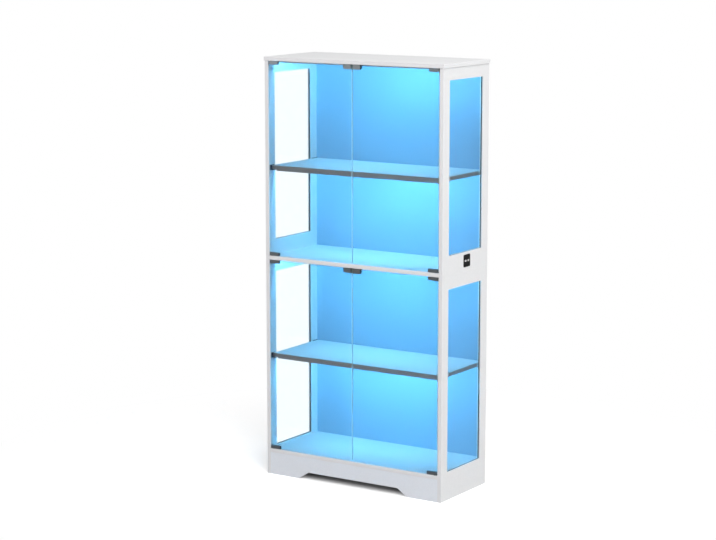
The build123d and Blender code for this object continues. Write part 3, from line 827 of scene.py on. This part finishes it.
@dataclass
class BackScrews:
    """Pan-head screws of the back boards, each with a cross recess.

    Attributes:
        head_radius: radius of the head.
        head_height: how far the head stands out.
        rim_drop: how far the head's rim lies under its top, as a share of its height.
        core: radius of the innermost ring, as a share of the head's.
        shank_radius: radius of the shank.
        shank_length: length of the shank below the head.
        straight: share of the shank that has its full radius.
        tip: radius at the shank's end, as a share of its full one.
        cross: half width, reach and depth of the recess.
        soft: width of the recess's sloping walls.
        rings: rings over the head.
        turns: points on each ring.
    """

    head_radius: float = 3.5 * MM
    head_height: float = 1.5 * MM
    rim_drop: float = 0.7
    core: float = 0.04
    shank_radius: float = 1.5 * MM
    shank_length: float = 16.0 * MM
    straight: float = 0.9
    tip: float = 0.2
    cross: Point = (0.4 * MM, 2.0 * MM, 0.9 * MM)
    soft: float = 0.25 * MM
    rings: int = 20
    turns: int = 48

    def places(self) -> np.ndarray:
        """Reads where the screws are from the tops of the CAD screws' heads.

        Returns:
            The middle of each head's underside, one row of X, Y and Z each.
        """
        points = np.unique(cad_points("back_panel_screws"), axis=0)
        tops = points[points[:, 1] > points[:, 1].max() - self.head_height / 2]
        apart = np.linalg.norm(tops[:, None] - tops[None], axis=2)
        first = np.argmax(apart < 3 * self.head_radius, axis=1)
        heads = [tops[first == number] for number in np.unique(first)]
        middles = np.array([(head.min(axis=0) + head.max(axis=0)) / 2 for head in heads])
        return middles - (0.0, self.head_height, 0.0)

    def screw(self) -> np.ndarray:
        """One screw, turned round Y and sunk by its recess.

        A point is (r(u) cos v, h(u) - d * wall(|x|, |z|), r(u) sin v). Over the head, h is the head's height
        times 1 - rim_drop * s^4, where s is the radius as a share of the head's. The wall is 1 where the
        nearer of |x| and |z| is less than the cross's half width and r is less than its reach, and falls to 0
        over the soft width.

        Returns:
            Rings of points from the tip to the top: rings by turns by X, Y and Z.
        """
        share = np.linspace(1.0, self.core, self.rings)
        shank = self.shank_radius * np.array([self.tip, 1.0, 1.0])
        radius = np.concatenate([shank, [self.head_radius], self.head_radius * share])
        below = [-self.shank_length, -self.shank_length * self.straight, 0.0, 0.0]
        height = np.concatenate([below, self.head_height * (1.0 - self.rim_drop * share**4)])
        turn = np.linspace(0.0, math.tau, self.turns, endpoint=False)
        x = radius[:, None] * np.cos(turn)
        z = radius[:, None] * np.sin(turn)
        half, reach, depth = self.cross
        arm = np.clip((half - np.minimum(abs(x), abs(z))) / self.soft + 1.0, 0.0, 1.0)
        end = np.clip((reach - radius[:, None]) / self.soft + 1.0, 0.0, 1.0)
        on_head = (height > 0.0)[:, None]
        y = height[:, None] - depth * arm * end * on_head
        return np.stack([x, y, z], axis=-1)

    def build(self) -> None:
        """Adds all the screws as one piece."""
        screw = self.screw()
        rows = len(screw)
        places = self.places()
        points = (screw.reshape(-1, 3)[None] + places[:, None]).reshape(-1, 3)
        quads = grid_faces(rows, self.turns, False, True)
        tip = np.arange(self.turns)
        top = tip[::-1] + (rows - 1) * self.turns
        faces: list[Sequence[int]] = []
        for number in range(len(places)):
            shift = number * rows * self.turns
            faces += [*(quads + shift), tip + shift, top + shift]
        piece = mesh_object("back_screws_with_recess", points, faces)
        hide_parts("back_panel_screws")
        finish_piece(piece, ZINC_STEEL)


@dataclass
class TierLights:
    """The light that the strips give, as a row of short lamps under each cover.

    Attributes:
        colour: hex colour of the light.
        watts: power of each strip.
        tilt: turn from straight down towards the back, in degrees.
        spread: full angle of each lamp, in degrees.
        sections: lamps in a row.
        drop: gap between a cover and its lamps.
        width: width of a lamp.
        digits: decimals of a metre that tell two heights of the covers apart.
    """

    colour: str = "#76D0FF"
    watts: float = 3.3
    tilt: float = 68.0
    spread: float = 176.0
    sections: int = 6
    drop: float = 6.0 * MM
    width: float = 10.0 * MM
    digits: int = 4

    def lamp(self, name: str, place: Point, length: float) -> None:
        """Adds one lamp.

        Args:
            name: the lamp's name.
            place: its middle.
            length: its length along X.
        """
        data = bpy.data.lights.new(name, "AREA")
        data.shape = "RECTANGLE"
        data.size = length
        data.size_y = self.width
        data.spread = math.radians(self.spread)
        data.energy = self.watts / self.sections
        data.color = linear(self.colour)[:3]
        lamp = bpy.data.objects.new(name, data)
        lamp.location = place
        lamp.rotation_euler = Euler((math.radians(self.tilt), 0.0, 0.0))
        bpy.context.scene.collection.objects.link(lamp)

    def build(self) -> None:
        """Adds the lamps of each light strip."""
        low, high = span("light_lenses")
        # A cover's points have two heights, so every other height is an underside
        heights = np.unique(cad_points("light_lenses")[:, 2].round(self.digits))
        undersides = heights[::2]
        depth = float(low[1] + high[1]) / 2
        length = float(high[0] - low[0]) / self.sections
        middles = float(low[0]) + length * (np.arange(self.sections) + 0.5)
        for tier, underside in enumerate(undersides):
            for section, middle in enumerate(middles):
                place = (float(middle), depth, float(underside) - self.drop)
                self.lamp(f"tier_{tier}_lamp_{section}", place, length)
        LOG.info("tier lamps: %d", len(undersides) * self.sections)


# Stage


@dataclass(frozen=True)
class Backdrop:
    """The brightness of what a ray finds past the cabinet, by the way that it came.

    Attributes:
        ambient: for the light that falls on the outside.
        inner_ambient: for the light that comes in through the panes, low so that each tier keeps the colour
            of its own lamps.
        mirrored: for what a reflection shows.
        through_panes: for what is seen through panes, over 1 by what their faces reflect away, so that it
            stays white.
    """

    ambient: float = 0.35
    inner_ambient: float = 0.01
    mirrored: float = 0.2
    through_panes: float = 1.25

    def has_met(self, tree: Tree, kind: Met) -> Source:
        """1 for a ray that has met a surface of that kind, and 0 for another."""
        count = add(tree, "ShaderNodeLightPath").outputs[kind.value]
        return add(tree, "ShaderNodeMath", {0: count, 1: ONE_BOUNCE}, operation="GREATER_THAN")

    def inside(self, tree: Tree) -> Source:
        """1 for a ray that leaves the inside of the cabinet through a pane after it met a matt surface."""
        pane = add(tree, "ShaderNodeLightPath").outputs["Is Transmission Ray"]
        return add(tree, "ShaderNodeMath", {0: self.has_met(tree, Met.MATT), 1: pane}, operation="MULTIPLY")

    def seen(self, tree: Tree) -> Source:
        """1 for a ray that shows the background to the camera, straight or through glass or a reflection.

        Args:
            tree: the node tree that asks.

        Returns:
            1 or 0.
        """
        path = add(tree, "ShaderNodeLightPath").outputs
        ways = {0: path["Is Camera Ray"], 1: path["Is Glossy Ray"]}
        ways = {0: add(tree, "ShaderNodeMath", ways, operation="MAXIMUM"), 1: path["Is Transmission Ray"]}
        any_way = add(tree, "ShaderNodeMath", ways, operation="MAXIMUM")
        count = path[Met.MATT.value]
        first = add(tree, "ShaderNodeMath", {0: count, 1: ONE_BOUNCE}, operation="LESS_THAN")
        return add(tree, "ShaderNodeMath", {0: any_way, 1: first}, operation="MULTIPLY")

    def shown(self, tree: Tree) -> Source:
        """How bright the background is where it is seen: white straight on, dim in a reflection.

        Args:
            tree: the node tree that asks.

        Returns:
            The brightness.
        """
        pane = add(tree, "ShaderNodeLightPath").outputs["Is Transmission Ray"]
        lifted = add(tree, "ShaderNodeMapRange", {"Value": pane, "To Min": 1.0, "To Max": self.through_panes})
        shades = {FACTOR: self.has_met(tree, Met.SHINY), NUMBER_A: lifted, NUMBER_B: self.mirrored}
        return add(tree, "ShaderNodeMix", shades, data_type="FLOAT")

    def world(self) -> None:
        """Makes the world: white where it is seen, grey light outside, and a faint one through the panes."""
        world = bpy.data.worlds.new("studio_world")
        world.use_nodes = True
        bpy.context.scene.world = world
        tree = world.node_tree
        tree.nodes.clear()
        shades = {FACTOR: self.inside(tree), NUMBER_A: self.ambient, NUMBER_B: self.inner_ambient}
        light = add(tree, "ShaderNodeMix", shades, data_type="FLOAT")
        shades = {FACTOR: self.seen(tree), NUMBER_A: light, NUMBER_B: self.shown(tree)}
        strength = add(tree, "ShaderNodeMix", shades, data_type="FLOAT")
        glow = add(tree, "ShaderNodeBackground", {"Color": linear("#FFFFFF"), "Strength": strength})
        add(tree, "ShaderNodeOutputWorld", {"Surface": glow})


@dataclass(frozen=True, kw_only=True)
class StudioFloor(Finish):
    """Matt white paint that glows where it is seen, so that the floor is white outside the cabinet's shadow.

    Attributes:
        backdrop: what is round the floor.
        paint: hex colour of the paint.
        lift: glow outside the footprint.
        border: half width of the glow's soft border, which ends at the footprint's edge.
        shadow_reach: distances from the middle where the shadow starts to fade and where it has gone.
    """

    backdrop: Backdrop
    paint: str = "#E6E6E6"
    lift: float = 0.42
    border: float = 0.03
    shadow_reach: tuple[float, float] = (0.6, 1.6)

    def outside(self, tree: Tree, place: bpy.types.NodeSocket) -> Source:
        """0 on the floor under the cabinet and 1 beyond its footprint, with a soft border.

        Args:
            tree: the material's node tree.
            place: Object coordinates.

        Returns:
            A value from 0 to 1.
        """
        low, high = (np.array(corner) for corner in BOUNDS_AT_LOAD)
        half = (high - low) / 2 - self.border
        size = add(tree, "ShaderNodeVectorMath", {0: place}, operation="ABSOLUTE")
        beyond = add(tree, "ShaderNodeVectorMath", {0: size, 1: (*half[:2], 0.0)}, operation="SUBTRACT")
        parts = add(tree, "ShaderNodeSeparateXYZ", {0: beyond}).outputs
        most = add(tree, "ShaderNodeMath", {0: parts["X"], 1: parts["Y"]}, operation="MAXIMUM")
        ends = {"Value": most, "From Min": -self.border, "From Max": self.border}
        return add(tree, "ShaderNodeMapRange", ends)

    def far(self, tree: Tree, place: bpy.types.NodeSocket) -> Source:
        """0 where the shadow is full and 1 where it has faded away.

        Args:
            tree: the material's node tree.
            place: Object coordinates.

        Returns:
            A value from 0 to 1.
        """
        start, gone = self.shadow_reach
        length = add(tree, "ShaderNodeVectorMath", {0: place}, operation="LENGTH").outputs["Value"]
        ends = {"Value": length, "From Min": start, "From Max": gone}
        return add(tree, "ShaderNodeMapRange", ends, interpolation_type="SMOOTHSTEP")

    def dress(self, tree: Tree) -> Source:
        """Adds the lifted paint and, over it, the backdrop's brightness for each way that a ray came.

        Args:
            tree: the material's node tree.

        Returns:
            The shader.
        """
        white = linear("#FFFFFF")
        seen = self.backdrop.seen(tree)
        place = add(tree, "ShaderNodeTexCoord").outputs["Object"]
        outside = self.outside(tree, place)
        open_floor = add(tree, "ShaderNodeMath", {0: seen, 1: outside}, operation="MULTIPLY")
        strength = add(tree, "ShaderNodeMath", {0: open_floor, 1: self.lift}, operation="MULTIPLY")
        paint = add(tree, "ShaderNodeBsdfDiffuse", {"Color": linear(self.paint)})
        lift = add(tree, "ShaderNodeEmission", {"Color": white, "Strength": strength})
        floor = add(tree, "ShaderNodeAddShader", {0: paint, 1: lift})
        pane = add(tree, "ShaderNodeLightPath").outputs["Is Transmission Ray"]
        bare = add(tree, "ShaderNodeMath", {0: self.far(tree, place), 1: pane}, operation="MAXIMUM")
        fade = add(tree, "ShaderNodeMath", {0: bare, 1: seen}, operation="MULTIPLY")
        layers = (
            (fade, self.backdrop.shown(tree)),
            (self.backdrop.inside(tree), self.backdrop.inner_ambient),
            (self.backdrop.has_met(tree, Met.SHINY), self.backdrop.mirrored),
        )
        for share, brightness in layers:
            glow = add(tree, "ShaderNodeEmission", {"Color": white, "Strength": brightness})
            floor = add(tree, "ShaderNodeMixShader", {FACTOR: share, 1: floor, 2: glow})
        return floor


@dataclass(frozen=True)
class SoftLamp:
    """A large round lamp outside the cabinet.

    Attributes:
        name: its name.
        place: its middle.
        width: its width, in metres.
        watts: its power.
    """

    name: str
    place: Point
    width: float
    watts: float

    def build(self, aim: Point) -> None:
        """Adds the lamp. Panes don't pass its light on, so the tiers keep the colour of their own.

        Args:
            aim: the point that it looks at.
        """
        data = bpy.data.lights.new(self.name, "AREA")
        data.shape = "DISK"
        data.size = self.width
        data.energy = self.watts
        lamp = bpy.data.objects.new(self.name, data)
        lamp.location = self.place
        direction = Vector(aim) - Vector(self.place)
        lamp.rotation_euler = direction.to_track_quat("-Z", "Y").to_euler()
        lamp.visible_transmission = False
        bpy.context.scene.collection.objects.link(lamp)


@dataclass
class Studio:
    """Floor, world, lamps and camera.

    Attributes:
        backdrop: brightness of what is round the cabinet.
        floor_half: half the floor's width, in metres.
        lamps: the lamps outside.
        aim: the point that they look at.
        camera_place: where the camera stands.
        camera_yaw: its turn from +Y, clockwise seen from above, in radians.
        camera_pitch: its tip downward, in radians.
        focal_px: its focal length, in pixels of the photograph.
        frame_px: the photograph's width, in pixels.
        sensor_mm: width of the sensor.
        clip_end: how far the camera sees, in metres.
    """

    backdrop: Backdrop = Backdrop()
    floor_half: float = 30.0
    lamps: tuple[SoftLamp, ...] = (
        SoftLamp("key", (2.7, -2.9, 5.0), 2.4, 220.0),
        SoftLamp("fill", (-3.5, -4.0, 2.6), 3.0, 45.0),
        SoftLamp("side", (5.0, 1.5, 2.2), 3.0, 70.0),
        SoftLamp("over", (0.0, 0.3, 4.5), 2.0, 29.0),
    )
    aim: Point = (0.0, 0.0, 0.8)
    camera_place: Point = (4.1499, -6.5042, 2.1061)
    camera_yaw: float = -0.57651
    camera_pitch: float = 0.16704
    focal_px: float = 2082.9
    frame_px: float = 716.0
    sensor_mm: float = 36.0
    clip_end: float = 200.0

    def floor(self) -> None:
        """Adds a wide flat floor under the cabinet."""
        half = self.floor_half
        points = np.array([[-half, -half, 0.0], [half, -half, 0.0], [half, half, 0.0], [-half, half, 0.0]])
        floor = mesh_object("floor", points, [[0, 1, 2, 3]])
        floor.data.materials.append(StudioFloor("white_studio_floor", backdrop=self.backdrop).material())

    def camera(self) -> None:
        """Adds the camera with the photograph's view."""
        data = bpy.data.cameras.new("camera")
        data.sensor_width = self.sensor_mm
        data.sensor_fit = "HORIZONTAL"
        data.lens = self.focal_px * self.sensor_mm / self.frame_px
        data.clip_end = self.clip_end
        camera = bpy.data.objects.new("camera", data)
        camera.location = self.camera_place
        camera.rotation_euler = Euler((math.pi / 2 - self.camera_pitch, 0.0, -self.camera_yaw))
        bpy.context.scene.collection.objects.link(camera)
        bpy.context.scene.camera = camera

    def build(self) -> None:
        """Sets the stage."""
        bpy.context.scene.view_settings.view_transform = "Standard"
        self.backdrop.world()
        self.floor()
        for lamp in self.lamps:
            lamp.build(self.aim)
        self.camera()


def main() -> None:
    """Builds the looks, in order."""
    logging.basicConfig(level=logging.INFO, format="%(message)s")
    for part in (Carcass(), ShelfTrims(), ClampEndShade(), BackScrews(), TierLights(), Studio()):
        part.build()


if __name__ == "__main__":
    main()
